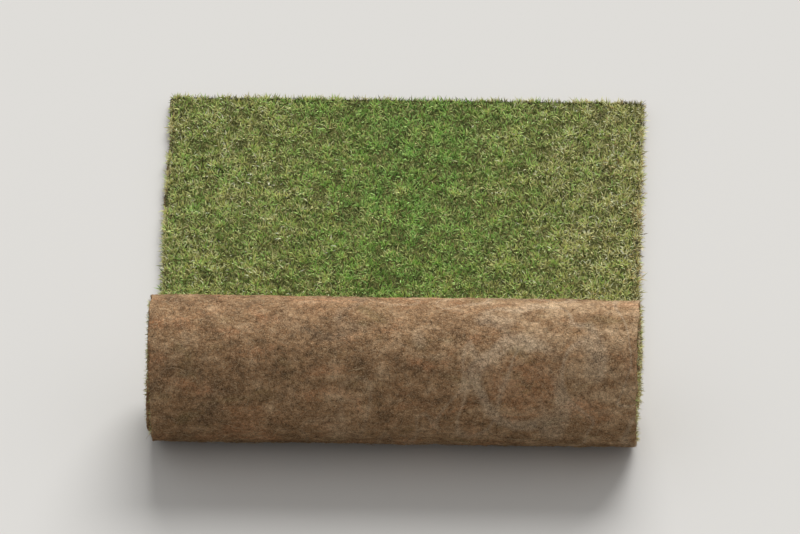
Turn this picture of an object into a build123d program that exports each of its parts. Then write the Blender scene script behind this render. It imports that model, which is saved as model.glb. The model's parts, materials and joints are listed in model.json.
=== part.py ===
"""A roll of cut turf lying on level ground, with the first stretch of its strip unrolled behind it.

The strip is one piece: a mat of soil and roots with the grass growing out of one face. It is wound with
the grass inwards and the soil outwards, so the roll is brown all round and the laid stretch is green on
top. Coiled, the mat and the grass pressed flat in the turn make up the pitch of the winding. Unrolled,
the grass stands up again, and the coil beds into it. The coil is one solid with the bore that the
winding mandrel left. Seen from an end, the strip runs in from the laid stretch, up the front of the
coil, over its top and round to the bore, where its inner end leaves a step.

Units are millimetres. X runs along the coil's axis, +Y away from the coil along the laid stretch and
+Z up. The origin is on the ground, under the middle of the object.
"""

from build123d import *
from math import asin, atan2, cos, degrees, radians, sin, sqrt
import os

# Driving dimensions of the strip. The coil holds 3.75 m of it, so the whole strip is 5 m long.
STRIP_WIDTH = 1200.0
SOIL_MAT = 18.0
PRESSED_GRASS = 6.0
STANDING_GRASS = 16.0
LAID_LENGTH = 1250.0

# Driving dimensions of the coil
BORE_RADIUS = 50.0
HALF_TURNS = 11
INNER_END_ANGLE = 70.0
GROOVE_DEPTH = 12.0
GROOVE_RUN_OUT = 50.0
NIP_RADIUS = 5.0
RIM_RADIUS = 4.0

# The winding line is made of half circles on two centres, one over the other. Those of the front half
# (towards -Y) are struck from the lower centre and those of the back half from the upper one, so each
# half turn is half a pitch larger than the last and all of them meet in line at the top and the bottom.
PITCH = SOIL_MAT + PRESSED_GRASS
HALF_PITCH = PITCH / 2
COIL_RADIUS = BORE_RADIUS + HALF_PITCH * HALF_TURNS
BACK_RADIUS = COIL_RADIUS - HALF_PITCH
COIL_Y = -(LAID_LENGTH - COIL_RADIUS) / 2
FRONT_CENTRE = (COIL_Y, COIL_RADIUS)
BACK_CENTRE = (COIL_Y, COIL_RADIUS + HALF_PITCH)
LAID_END_Y = COIL_Y + LAID_LENGTH

# The hollow round in the nip touches the coil's back and the tips of the standing grass.
LAID_TOP = SOIL_MAT + STANDING_GRASS
NIP_Z = LAID_TOP + NIP_RADIUS
NIP_Y = COIL_Y + sqrt((BACK_RADIUS + NIP_RADIUS) ** 2 - (BACK_CENTRE[1] - NIP_Z) ** 2)
NIP_CENTRE = (NIP_Y, NIP_Z)

# Angles in degrees, counted from +Y towards +Z
TOP = 90.0
BOTTOM = 270.0
HALF_CIRCLE = 180.0
FULL_CIRCLE = 360.0


def front_half(radius):
    """Half a turn over the front, from the bottom to the top."""
    return CenterArc(FRONT_CENTRE, radius, BOTTOM, -HALF_CIRCLE)


def back_half(radius):
    """Half a turn over the back, from the top to the bottom."""
    return CenterArc(BACK_CENTRE, radius, TOP, -HALF_CIRCLE)


def from_back_centre(reach, angle):
    """The point at a reach and an angle from the upper centre, where the mandrel ran."""
    return (BACK_CENTRE[0] + reach * cos(radians(angle)), BACK_CENTRE[1] + reach * sin(radians(angle)))


def strip_outline():
    """The outside of the whole object in section: laid stretch, front, back and the nip between them.

    The grass that the coil beds into fills the nip, up to the hollow round.
    """
    nip_angle = degrees(atan2(NIP_CENTRE[1] - BACK_CENTRE[1], NIP_CENTRE[0] - BACK_CENTRE[0]))
    nip_start = HALF_CIRCLE + nip_angle
    underside = Line((LAID_END_Y, 0), (COIL_Y, 0))
    front = front_half(COIL_RADIUS)
    back = CenterArc(BACK_CENTRE, BACK_RADIUS, TOP, nip_angle - TOP)
    nip = CenterArc(NIP_CENTRE, NIP_RADIUS, nip_start, BOTTOM - nip_start)
    grass_tips = Line((NIP_Y, LAID_TOP), (LAID_END_Y, LAID_TOP))
    cut_end = Line((LAID_END_Y, LAID_TOP), (LAID_END_Y, 0))
    return [underside, front, back, nip, grass_tips, cut_end]


def bore_outline():
    """The bore in section: round, with a step where the strip's inner end lay on the mandrel.

    From the step the next turn comes down onto the round wall and meets it in line at the top.
    """
    step_angle = TOP + INNER_END_ANGLE
    next_radius = BORE_RADIUS + HALF_PITCH
    # The step ends on the next turn's grass face, and that face is struck from the lower centre.
    rise = HALF_PITCH * sin(radians(step_angle))
    step_reach = sqrt(next_radius**2 - HALF_PITCH**2 + rise**2) - rise
    step_inner = from_back_centre(BORE_RADIUS, step_angle)
    step_outer = from_back_centre(step_reach, step_angle)
    outer_angle = degrees(atan2(step_outer[1] - FRONT_CENTRE[1], step_outer[0] - FRONT_CENTRE[0]))
    mandrel_side = CenterArc(BACK_CENTRE, BORE_RADIUS, TOP, INNER_END_ANGLE - FULL_CIRCLE)
    step = Line(step_inner, step_outer)
    next_turn = CenterArc(FRONT_CENTRE, next_radius, outer_angle, TOP - outer_angle)
    return [mandrel_side, step, next_turn]


def groove_outline():
    """The line of the pressed grass on an end of the coil, as a band one grass thickness wide.

    The band lies on the grass face of each turn, from the top of the bore out to the bottom of the coil.
    From there it widens between the coil's back and the laid soil, and runs out short of the nip.
    """
    grass_side, soil_side = [], []
    for turn in range(1, HALF_TURNS - 1):
        half = front_half if turn % 2 else back_half
        radius = BORE_RADIUS + HALF_PITCH * turn
        grass_side.append(half(radius))
        soil_side.append(half(radius + PRESSED_GRASS))
    bore_top = BACK_CENTRE[1] + BORE_RADIUS
    inner_end = Line((COIL_Y, bore_top), (COIL_Y, bore_top + PRESSED_GRASS))
    above = CenterArc(BACK_CENTRE, BACK_RADIUS, BOTTOM, degrees(asin(GROOVE_RUN_OUT / BACK_RADIUS)))
    below = Line((COIL_Y, SOIL_MAT), (COIL_Y + GROOVE_RUN_OUT, SOIL_MAT))
    run_out = Line(below @ 1, above @ 1)
    return [*grass_side, *soil_side, inner_end, above, below, run_out]


def section(outline):
    """A face across the coil's axis from a closed set of lines and arcs."""
    return Plane.YZ * make_face(outline)


def turf_roll():
    """The whole strip as one solid: rounded rims, bore, and the groove of pressed grass on each end."""
    half_width = STRIP_WIDTH / 2
    strip = extrude(section(strip_outline()), half_width, both=True)
    rims = strip.faces().filter_by(Axis.X).edges()
    roll = fillet(rims, RIM_RADIUS)
    roll -= extrude(section(bore_outline()), half_width, both=True)
    groove = extrude(section(groove_outline()), GROOVE_DEPTH)
    roll -= Pos(half_width - GROOVE_DEPTH, 0, 0) * groove
    roll -= Pos(-half_width, 0, 0) * groove
    return roll


os.makedirs("parts", exist_ok=True)
export_step(turf_roll(), "parts/turf_roll.step")
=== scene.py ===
"""Dresses a roll of turf: a mat of soil and roots wound soil side out, with its grass on the inner face.

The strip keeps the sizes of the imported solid. Its winding is worked out again from that solid's box and
bore, so that every turn, rim and root lies where the solid has it. Lengths are in metres, X runs along
the coil's axis, +Y from the coil along the laid stretch and +Z up.
"""

import json
import logging
import math
from dataclasses import dataclass, replace
from enum import Enum
from typing import Any, Sequence

import bmesh
import bpy
import numpy as np
from mathutils import Matrix, Vector

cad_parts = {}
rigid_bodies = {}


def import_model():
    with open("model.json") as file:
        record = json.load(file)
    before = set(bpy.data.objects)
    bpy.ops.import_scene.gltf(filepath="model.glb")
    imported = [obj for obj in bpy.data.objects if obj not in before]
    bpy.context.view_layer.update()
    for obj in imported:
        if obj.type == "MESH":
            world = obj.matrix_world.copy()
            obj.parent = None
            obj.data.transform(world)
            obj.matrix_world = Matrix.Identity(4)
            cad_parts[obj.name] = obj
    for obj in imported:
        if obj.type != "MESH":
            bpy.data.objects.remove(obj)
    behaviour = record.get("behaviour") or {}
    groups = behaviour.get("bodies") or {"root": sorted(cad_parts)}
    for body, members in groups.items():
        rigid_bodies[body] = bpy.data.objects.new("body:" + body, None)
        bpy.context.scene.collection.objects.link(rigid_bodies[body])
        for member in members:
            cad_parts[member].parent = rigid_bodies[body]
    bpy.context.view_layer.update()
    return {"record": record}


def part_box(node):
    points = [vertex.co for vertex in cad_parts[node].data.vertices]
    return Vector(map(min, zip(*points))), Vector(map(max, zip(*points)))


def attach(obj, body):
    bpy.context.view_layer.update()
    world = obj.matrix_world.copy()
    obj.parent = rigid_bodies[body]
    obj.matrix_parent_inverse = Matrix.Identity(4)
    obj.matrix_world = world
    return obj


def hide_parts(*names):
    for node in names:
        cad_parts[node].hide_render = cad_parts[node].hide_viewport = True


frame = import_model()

STRIP_NODE = "turf_roll"
BODY = "root"
BORE_MOUNT = "core_bore"
MM = 0.001
FULL_TURN = 360.0
HALF_TURN = 180.0
STRAIGHT_DOWN = 270.0
# Nothing reaches lower than the first; the second is lower than anything here.
CLEAR_OF_GROUND = 0.3 * MM
NO_LIMIT = -9.0
MID_NOISE = (0.5, 0.5, 0.5)
UNEVEN_SOIL = {"Swell": 4.0 * MM, "Lump": 3.6 * MM, "Seed": 1.0}
UNEVEN_THATCH = {"Swell": 0.5 * MM, "Lump": 1.2 * MM, "Seed": 3.0}
# Seeds: what sets the grass's torn edge apart from the soil's, and the first form of each kind.
GRASS_EDGE = 7
FIRST_FORM = 100
# Where runs begin and stop: degrees past the coil's foot, share of the width and length before the cut.
PAST_FOOT = 2.0
SHORT_OF_EDGES = 0.995
SHORT_OF_CUT = 4.0 * MM

LOG = logging.getLogger("roll_of_turf")

Colour = tuple[float, float, float, float]
Triple = tuple[float, float, float]
Range = tuple[float, float]


def paint(red: int, green: int, blue: int) -> Colour:
    """A colour as a colour picker shows it, turned into the linear values that a socket takes.

    The numbers are those of the sRGB curve.

    Args:
        red: Red from 0 to 255.
        green: Green from 0 to 255.
        blue: Blue from 0 to 255.

    Returns:
        The linear colour with full alpha.
    """
    shares = [value / 255 for value in (red, green, blue)]
    linear = [s / 12.92 if s <= 0.04045 else ((s + 0.055) / 1.055) ** 2.4 for s in shares]
    return (*linear, 1.0)


class Slot(Enum):
    """The finishes that the record names."""

    SOIL = "soil"
    GRASS = "grass"
    ROOTS = "roots"


class Mark(Enum):
    """Names of the values that the meshes carry from their making to their finish.

    Strip is a point's place along, across and into the strip. Freedom is how far a point may be moved to
    make the surface uneven. Cover, comb and tint rule what is planted on a bed: how thickly, which way it
    leans and its colour. Rise is how far up its blade a point is, shade tells the blades of a tuft apart,
    and clump is how much light a tuft gets among its neighbours.
    """

    STRIP = "strip"
    FREEDOM = "freedom"
    COVER = "cover"
    COMB = "comb"
    TINT = "tint"
    RISE = "rise"
    SHADE = "shade"
    CLUMP = "clump"


class Reading:
    """An output socket that takes part in maths, in a shader or in a Geometry Nodes tree."""

    def __init__(self, sheet: "NodeSheet", socket: bpy.types.NodeSocket) -> None:
        """Takes an output socket and the sheet that its node is on."""
        self.sheet = sheet
        self.socket = socket

    def maths(self, operation: str, *others: Any) -> "Reading":
        """The result of a Math node with this reading first and other readings or numbers after it."""
        return self.sheet.maths(operation, self, *others)

    def __add__(self, other: Any) -> "Reading":
        """This plus other, or other plus this."""
        return self.maths("ADD", other)

    __radd__ = __add__

    def __sub__(self, other: Any) -> "Reading":
        """This less other."""
        return self.maths("SUBTRACT", other)

    def __rsub__(self, other: Any) -> "Reading":
        """Other less this."""
        return self.sheet.maths("SUBTRACT", other, self)

    def __mul__(self, other: Any) -> "Reading":
        """This times other, or other times this."""
        return self.maths("MULTIPLY", other)

    __rmul__ = __mul__

    def __abs__(self) -> "Reading":
        """This without its sign."""
        return self.maths("ABSOLUTE")

    def step(self, low: float, high: float) -> "Reading":
        """Smoothly 0 below low and 1 above high, or the other way round where low is the larger.

        Args:
            low: The value that gives 0.
            high: The value that gives 1.

        Returns:
            A mask from 0 to 1.
        """
        settings = {"interpolation_type": "SMOOTHSTEP"}
        inputs = {"Value": self, "From Min": low, "From Max": high}
        return self.sheet.read(self.sheet.node("ShaderNodeMapRange", settings, inputs))


class NodeSheet:
    """A node tree under construction."""

    def __init__(self, tree: bpy.types.NodeTree) -> None:
        """Takes the tree that the nodes go into."""
        self.tree = tree

    def node(self, kind: str, settings: dict[str, Any] | None = None,
             inputs: dict[str | int, Any] | None = None) -> bpy.types.Node:
        """Adds a node.

        Args:
            kind: The node's type.
            settings: Its properties, set first. The key "stops" holds the colours of a ramp.
            inputs: Values or readings by socket name or index.

        Returns:
            The node.
        """
        made = self.tree.nodes.new(kind)
        for name, value in (settings or {}).items():
            if name == "stops":
                self._set_stops(made.color_ramp, value)
            else:
                setattr(made, name, value)
        for key, value in (inputs or {}).items():
            socket = self._socket(made.inputs, key)
            if isinstance(value, Reading):
                self.tree.links.new(value.socket, socket)
            else:
                socket.default_value = value
        return made

    @staticmethod
    def _set_stops(ramp: bpy.types.ColorRamp, stops: Sequence[tuple[float, Colour]]) -> None:
        """Gives a ramp its stops.

        Args:
            ramp: The ramp of a new node, which has two stops.
            stops: Places and colours in rising order.
        """
        while len(ramp.elements) < len(stops):
            ramp.elements.new(1.0)
        for element, (place, colour) in zip(ramp.elements, stops):
            element.position = place
            element.color = colour

    @staticmethod
    def _socket(sockets: Any, key: str | int) -> bpy.types.NodeSocket:
        """The socket of that index, or the first one in use of that name."""
        if isinstance(key, int):
            return sockets[key]
        return next(socket for socket in sockets if socket.name == key and socket.enabled)

    def read(self, node: bpy.types.Node, output: str | int = 0) -> Reading:
        """One of a node's outputs.

        Args:
            node: The node.
            output: Name of the output, or its place among those in use.

        Returns:
            The reading.
        """
        if isinstance(output, int):
            return Reading(self, [socket for socket in node.outputs if socket.enabled][output])
        return Reading(self, self._socket(node.outputs, output))

    def maths(self, operation: str, *values: Any) -> Reading:
        """The result of a Math node on readings or numbers."""
        return self.read(self.node("ShaderNodeMath", {"operation": operation}, dict(enumerate(values))))

    def vector(self, operation: str, *values: Any) -> Reading:
        """The result of a Vector Math node on readings or vectors."""
        inputs = dict(enumerate(values))
        return self.read(self.node("ShaderNodeVectorMath", {"operation": operation}, inputs))

    def scaled(self, vector: Any, factor: Any) -> Reading:
        """A vector times a number."""
        made = self.node("ShaderNodeVectorMath", {"operation": "SCALE"}, {0: vector, "Scale": factor})
        return self.read(made)

    def mix(self, factor: Any, first: Any, second: Any) -> Reading:
        """The colour between first, at factor 0, and second, at factor 1."""
        inputs = {"Factor": factor, "A": first, "B": second}
        return self.read(self.node("ShaderNodeMix", {"data_type": "RGBA"}, inputs), "Result")

    def dimmed(self, colour: Any, light: Reading) -> Reading:
        """A colour times a grey level, and no brighter than white.

        Args:
            colour: The colour at a level of 1.
            light: The grey level.

        Returns:
            The colour, dimmed or lit.
        """
        grey = self.read(self.node("ShaderNodeCombineColor", None, {0: light, 1: light, 2: light}))
        settings = {"data_type": "RGBA", "blend_type": "MULTIPLY", "clamp_result": True}
        inputs = {"Factor": 1.0, "A": colour, "B": grey}
        return self.read(self.node("ShaderNodeMix", settings, inputs), "Result")

    def ramp(self, factor: Reading, stops: Sequence[tuple[float, Colour]]) -> Reading:
        """The colour that a ramp gives for a factor."""
        return self.read(self.node("ShaderNodeValToRGB", {"stops": stops}, {0: factor}))

    def noise(self, place: Reading, scale: float, detail: float = 3.0, roughness: float = 0.55,
              distortion: float = 0.0) -> Reading:
        """Cloudy noise around 0.5.

        Args:
            place: Where it is read, in metres.
            scale: Waves to the metre.
            detail: How many finer waves are added.
            roughness: How strong the finer waves are.
            distortion: How far it is swirled.

        Returns:
            The noise.
        """
        inputs = {"Vector": place, "Scale": scale, "Detail": detail, "Roughness": roughness,
                  "Distortion": distortion}
        return self.read(self.node("ShaderNodeTexNoise", None, inputs))

    def drift(self, place: Reading, scale: float) -> Reading:
        """Noise that points any way, by up to half in each direction, with scale waves to the metre."""
        noise = self.node("ShaderNodeTexNoise", None, {"Vector": place, "Scale": scale, "Detail": 2.0})
        return self.vector("SUBTRACT", self.read(noise, "Color"), MID_NOISE)


class Dye(NodeSheet):
    """A material under construction.

    Attributes:
        SWING: What brings the swing of a noise, mostly a quarter either way, to about 1.
        CREASE: What brings the texture's distance in the creases between lumps to about 1.
    """

    SWING = 4.0
    CREASE = 1.8

    def __init__(self, name: str) -> None:
        """Starts an empty material.

        Args:
            name: The material's name.
        """
        self.material = bpy.data.materials.new(name)
        self.material.use_nodes = True
        super().__init__(self.material.node_tree)
        self.tree.nodes.clear()

    def place(self) -> Reading:
        """The point on the piece, in metres."""
        return self.read(self.node("ShaderNodeTexCoord"), "Object")

    def parts(self, vector: Reading, axis: str) -> Reading:
        """One of a vector's three parts."""
        return self.read(self.node("ShaderNodeSeparateXYZ", None, {"Vector": vector}), axis)

    def mark(self, mark: Mark, output: str = "Fac") -> Reading:
        """A value that the mesh carries."""
        return self.read(self.node("ShaderNodeAttribute", {"attribute_name": mark.value}), output)

    def stretched(self, place: Reading, scale: Triple, turn: float = 0.0) -> Reading:
        """A place with its axes scaled and turned about Z, for a pattern that is longer one way."""
        inputs = {"Vector": place, "Rotation": (0.0, 0.0, turn), "Scale": scale}
        return self.read(self.node("ShaderNodeMapping", None, inputs))

    def drawn_noise(self, place: Reading, waves: Triple, detail: float = 3.0, distortion: float = 0.0,
                    turn: float = 0.0, roughness: float = 0.6) -> Reading:
        """Noise that is longer one way, with its waves to the metre along each axis and a turn about Z."""
        return self.noise(self.stretched(place, waves, turn), 1.0, detail, roughness, distortion)

    def threads(self, place: Reading, scale: float, width: float) -> Reading:
        """A mask of thin winding lines, which lie where a noise is within the width of its middle."""
        noise = self.noise(place, scale, detail=2.0, roughness=0.5, distortion=0.4)
        return abs(noise - 0.5).step(width, 0.0)

    def swirled(self, place: Reading, scale: float, reach: float) -> Reading:
        """The place moved about by noise, about as far as reach, so that a pattern has no straight lines."""
        return self.vector("ADD", place, self.scaled(self.drift(place, scale), self.SWING * reach))

    def lumps(self, place: Reading, scale: float) -> Reading:
        """Lumps packed side by side: 1 on their tops and about 0 in the creases between them.

        Args:
            place: Where they are read.
            scale: Lumps to the metre.

        Returns:
            Their height.
        """
        settings = {"feature": "F1", "normalize": True}
        inputs = {"Vector": place, "Scale": scale, "Detail": 1.0, "Roughness": 0.6}
        distance = self.read(self.node("ShaderNodeTexVoronoi", settings, inputs), "Distance")
        return 1.0 - distance * self.CREASE

    def surface(self, colour: Reading, roughness: Any, height: Reading | None = None,
                depth: float = 0.0, gloss: float = 0.2) -> bpy.types.Material:
        """Ends the material with one surface.

        Args:
            colour: Base colour.
            roughness: Reading or number.
            height: Relief from 0 to 1, or None for none.
            depth: How deep the relief is, in metres.
            gloss: Level of the reflection, the same all over.

        Returns:
            The material.
        """
        inputs = {"Base Color": colour, "Roughness": roughness, "Specular IOR Level": gloss}
        if height is not None:
            bump = self.node("ShaderNodeBump", None, {"Height": height, "Distance": depth, "Strength": 1.0})
            inputs["Normal"] = self.read(bump)
        shader = self.read(self.node("ShaderNodeBsdfPrincipled", None, inputs))
        self.node("ShaderNodeOutputMaterial", None, {"Surface": shader})
        return self.material


@dataclass(frozen=True)
class RootNet:
    """One of the directions that fine roots take in the soil face.

    Attributes:
        stretch: How the roots are drawn out along the strip, across it and into it.
        turn: How far they are turned, in radians.
        waves: Waves to the metre.
        width: Half a root's width, as a share of the noise's range.
        strength: How well they show.
    """

    stretch: Triple
    turn: float
    waves: float
    width: float
    strength: float

    def mask(self, dye: Dye, strip: Reading) -> Reading:
        """Their strength on the roots and 0 beside them."""
        drawn_out = dye.stretched(strip, self.stretch, self.turn)
        return dye.threads(drawn_out, self.waves, self.width) * self.strength


@dataclass(frozen=True)
class SoilFinish:
    """Moist soil held together by fine roots, paler where it has dried and been rubbed, with painted shade
    in the creases between its crumbs and painted light on their tops.

    Winding stretches the soil face, so its mottles are drawn out along the coil. A pale ring, open at one
    side, is rubbed into the right of the coil's face, round a rusty patch.

    Attributes:
        humus, loam, dry: Colours of the soil, from the dampest to the driest.
        rust, moss: The hues of some of it.
        thread, scuff: Colours of the fine roots in it and of the rubbed marks.
        relief: Depth of the finest unevenness.
        soil_depth: Thickness of the soil, which is darker towards the grass.
        mottle_waves, band_waves, hue_waves, scuff_waves: Waves to the metre of the mottles, bands, hues and
            rubbed marks: along the strip, across it and into it.
        damp_waves: Waves to the metre of the damp patches.
        clod_waves, grit_waves, grain_waves: Clods, bits of grit and grains to the metre.
        ring: Middle of the pale ring, along the strip, across it and into it.
        ring_radius: Radius of the ring.
        ring_faint: How far from the ring's line it ends.
        ring_full: How far from the ring's line it is at its palest.
        rust_radius: Radius of the rusty patch inside it.
        ring_open: Places across the strip between which the ring fades out towards the edge.
        nets: The directions that the fine roots take.
    """

    humus: Colour = paint(84, 62, 42)
    loam: Colour = paint(152, 119, 86)
    dry: Colour = paint(208, 178, 142)
    rust: Colour = paint(176, 122, 84)
    moss: Colour = paint(122, 108, 70)
    thread: Colour = paint(220, 196, 160)
    scuff: Colour = paint(206, 188, 162)
    relief: float = 3.4 * MM
    soil_depth: float = 18 * MM
    mottle_waves: Triple = (28.0, 19.0, 1.0)
    band_waves: Triple = (10.0, 1.8, 1.0)
    hue_waves: Triple = (14.0, 7.0, 1.0)
    scuff_waves: Triple = (3.6, 4.4, 1.0)
    damp_waves: float = 6.0
    clod_waves: float = 90.0
    grit_waves: float = 300.0
    grain_waves: float = 420.0
    ring: Triple = (-0.381, 0.3225, 0.0)
    ring_radius: float = 0.112
    ring_faint: float = 0.026
    ring_full: float = 0.006
    rust_radius: float = 0.1
    ring_open: Range = (0.43, 0.34)
    nets: tuple[RootNet, ...] = (RootNet((1.0, 0.45, 1.0), 0.3, 130.0, 0.03, 1.0),
                                 RootNet((0.4, 1.0, 1.0), -0.4, 160.0, 0.028, 0.8),
                                 RootNet((0.7, 0.5, 1.0), 1.1, 60.0, 0.016, 1.0))

    def material(self) -> bpy.types.Material:
        """Builds the material.

        Returns:
            The material.
        """
        dye = Dye("soil and roots")
        place = dye.place()
        strip = dye.mark(Mark.STRIP, "Vector")
        mottles = dye.drawn_noise(strip, self.mottle_waves, distortion=0.4)
        clods = dye.lumps(dye.swirled(place, scale=130.0, reach=1.0 * MM), self.clod_waves)
        grit = dye.lumps(place, self.grit_waves)
        grain = dye.noise(place, self.grain_waves, detail=4.0, roughness=0.8)
        from_ring = self._from_ring(dye, strip)
        scuffed = self._scuffed(dye, strip, from_ring) * grain.step(0.3, 0.6)
        roots = self._roots(dye, strip)
        colour = self._ground(dye, place, strip, mottles)
        colour = self._hued(dye, colour, strip, from_ring, clods * 0.35 + grain.step(0.3, 0.7) * 0.55)
        colour = dye.mix(scuffed * 0.55, colour, self.scuff)
        colour = dye.mix(roots * (grain.step(0.35, 0.6) * 0.4), colour, self.thread)
        height = mottles * 0.25 + clods * 0.6 + grit * 0.34 + grain * 0.12 + roots * 0.06
        # Painted shade and light: the colour is darkened in the creases between clods, grit and grains and
        # brightened on their tops.
        crumbs = clods * 0.5 + grit * 0.55 + grain * 1.1
        light = (crumbs * 2.3 - 1.28).maths("MAXIMUM", 0.3).maths("MINIMUM", 1.65)
        return dye.surface(dye.dimmed(colour, light), 0.96 - scuffed * 0.1, height, self.relief, gloss=0.12)

    def _ground(self, dye: Dye, place: Reading, strip: Reading, mottles: Reading) -> Reading:
        """The colour of the soil itself, from dark humus through loam to dry soil.

        Args:
            dye: The material.
            place: The point on the piece.
            strip: The point on the strip.
            mottles: Noise that tells the mottles.

        Returns:
            The colour.
        """
        bands = dye.drawn_noise(strip, self.band_waves)
        damp = dye.noise(place, self.damp_waves)
        deep = dye.parts(strip, "Z").step(0.0, self.soil_depth)
        drier = dye.parts(strip, "Y") * 0.1 - deep * 0.22
        tone = mottles * 0.75 + bands * 0.4 + damp * 0.4 + drier
        return dye.ramp(tone - 0.275, ((0.2, self.humus), (0.5, self.loam), (0.8, self.dry)))

    def _hued(self, dye: Dye, colour: Reading, strip: Reading, from_ring: Reading,
              broken: Reading) -> Reading:
        """The colour turned rusty in some places and mossy in others.

        Args:
            dye: The material.
            colour: The soil's own colour.
            strip: The point on the strip.
            from_ring: Distance from the middle of the ring.
            broken: How well a hue shows on the crumbs and grains that break it up.

        Returns:
            The colour.
        """
        hue = dye.drawn_noise(strip, self.hue_waves, distortion=0.5)
        patch = from_ring.step(self.rust_radius, self.rust_radius / 2) * 0.7
        rusty = hue.step(0.5, 0.72).maths("MAXIMUM", patch)
        rusted = dye.mix(rusty * broken, colour, self.rust)
        return dye.mix(hue.step(0.45, 0.28) * broken * 0.9, rusted, self.moss)

    def _from_ring(self, dye: Dye, strip: Reading) -> Reading:
        """How far a point is from the middle of the ring."""
        ends = {0: dye.swirled(strip, scale=8.0, reach=22 * MM), 1: self.ring}
        return dye.read(dye.node("ShaderNodeVectorMath", {"operation": "DISTANCE"}, ends), "Value")

    def _scuffed(self, dye: Dye, strip: Reading, from_ring: Reading) -> Reading:
        """Where the soil is rubbed pale: in curved bands, more of them on the right, and in the ring.

        Args:
            dye: The material.
            strip: The point on the strip.
            from_ring: Distance from the middle of the ring.

        Returns:
            A mask that is 1 where it is palest.
        """
        across_strip = dye.parts(strip, "Y")
        swirl = dye.drawn_noise(strip, self.scuff_waves, detail=1.0, distortion=1.2, turn=0.5,
                                roughness=0.5)
        bands = abs(swirl - 0.53).step(0.045, 0.0) * (across_strip.step(-0.35, 0.35) * 0.6 + 0.1)
        ring = abs(from_ring - self.ring_radius).step(self.ring_faint, self.ring_full)
        return bands.maths("MAXIMUM", ring * across_strip.step(*self.ring_open) * 0.85)

    def _roots(self, dye: Dye, strip: Reading) -> Reading:
        """A mask of the fine roots that lie in the face, in all their directions."""
        first, second, third = [net.mask(dye, strip) for net in self.nets]
        return first.maths("MAXIMUM", second).maths("MAXIMUM", third)


@dataclass(frozen=True)
class ThatchFinish:
    """Old stems and sheaths that lie pressed at the foot of the grass.

    Attributes:
        shadow, stem, straw: Its colours, from the gaps between the stems to the driest stems.
        relief: Depth of the unevenness.
        lying_waves, crossing_waves: Waves to the metre of the stems that lie along the strip and of those
            that cross them: along it, across it and into it.
        patch_waves: Waves to the metre of the paler and darker patches.
    """

    shadow: Colour = paint(50, 54, 26)
    stem: Colour = paint(110, 116, 60)
    straw: Colour = paint(172, 160, 104)
    relief: float = 2.5 * MM
    lying_waves: Triple = (90.0, 480.0, 1.0)
    crossing_waves: Triple = (400.0, 100.0, 1.0)
    patch_waves: float = 26.0

    def material(self) -> bpy.types.Material:
        """Builds the material.

        Returns:
            The material.
        """
        dye = Dye("pressed thatch")
        strip = dye.mark(Mark.STRIP, "Vector")
        lying = dye.drawn_noise(strip, self.lying_waves, detail=2.0, distortion=0.5, turn=0.5)
        crossing = dye.drawn_noise(strip, self.crossing_waves, detail=2.0, distortion=0.5, turn=0.25)
        stems = (lying.maths("MAXIMUM", crossing) - 0.56) * 2.6
        tone = stems + dye.noise(dye.place(), self.patch_waves) * 0.4 + 0.3
        stops = ((0.2, self.shadow), (0.52, self.stem), (0.85, self.straw))
        return dye.surface(dye.ramp(tone, stops), 0.85, tone, self.relief, gloss=0.15)


@dataclass(frozen=True)
class GrassFinish:
    """Blades of mown grass, from deep green through olive to straw, with painted shade towards the root and
    a painted light level from their clump.

    Attributes:
        deep, leaf, olive, pale, straw, brown: Its colours, from the freshest blades to the oldest.
        vein_waves: Waves to the metre of the veins, across a blade both ways and up it.
        brightest: The most light that a blade can get, as a share of its plain colour.
    """

    deep: Colour = paint(116, 160, 80)
    leaf: Colour = paint(149, 178, 101)
    olive: Colour = paint(184, 178, 120)
    pale: Colour = paint(220, 220, 166)
    straw: Colour = paint(214, 192, 142)
    brown: Colour = paint(156, 124, 86)
    vein_waves: Triple = (900.0, 900.0, 160.0)
    brightest: float = 2.2

    def material(self) -> bpy.types.Material:
        """Builds the material.

        Returns:
            The material.
        """
        dye = Dye("grass blades")
        shade = dye.mark(Mark.SHADE)
        stops = ((0.05, self.deep), (0.35, self.leaf), (0.6, self.olive), (0.74, self.pale),
                 (0.86, self.straw), (1.0, self.brown))
        colour = dye.ramp(dye.mark(Mark.TINT) + (shade - 0.5) * 0.3, stops)
        # Painted shade: blades are darker towards the root. Painted light and shade: brighter in the thick
        # clumps and darker between them, as the clump mark sets.
        painted_root_shade = dye.mark(Mark.RISE).step(0.0, 0.8) * 0.85 + 0.2
        veins = dye.drawn_noise(dye.place(), self.vein_waves, detail=2.0, roughness=0.55)
        painted_clump_light = dye.mark(Mark.CLUMP) * 2.0 + 0.31
        light = (painted_root_shade * (veins * 0.4 + 0.8) * painted_clump_light).maths("MINIMUM", self.brightest)
        return dye.surface(dye.dimmed(colour, light), 0.62 - shade * 0.1, gloss=0.25)


@dataclass(frozen=True)
class RootFinish:
    """Fine roots, from pale straw to rusty brown.

    Attributes:
        pale, rusty: The colours between which they vary.
        knot_waves: Knots to the metre.
        relief: Height of a knot.
    """

    pale: Colour = paint(218, 194, 156)
    rusty: Colour = paint(158, 116, 82)
    knot_waves: float = 300.0
    relief: float = 0.3 * MM

    def material(self) -> bpy.types.Material:
        """Builds the material.

        Returns:
            The material.
        """
        dye = Dye("fine roots")
        knots = dye.noise(dye.place(), self.knot_waves, detail=2.0)
        colour = dye.mix(dye.mark(Mark.TINT).step(0.2, 0.9), self.pale, self.rusty)
        return dye.surface(dye.dimmed(colour, knots * 0.6 + 0.65), 0.8, knots, self.relief, gloss=0.15)


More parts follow.
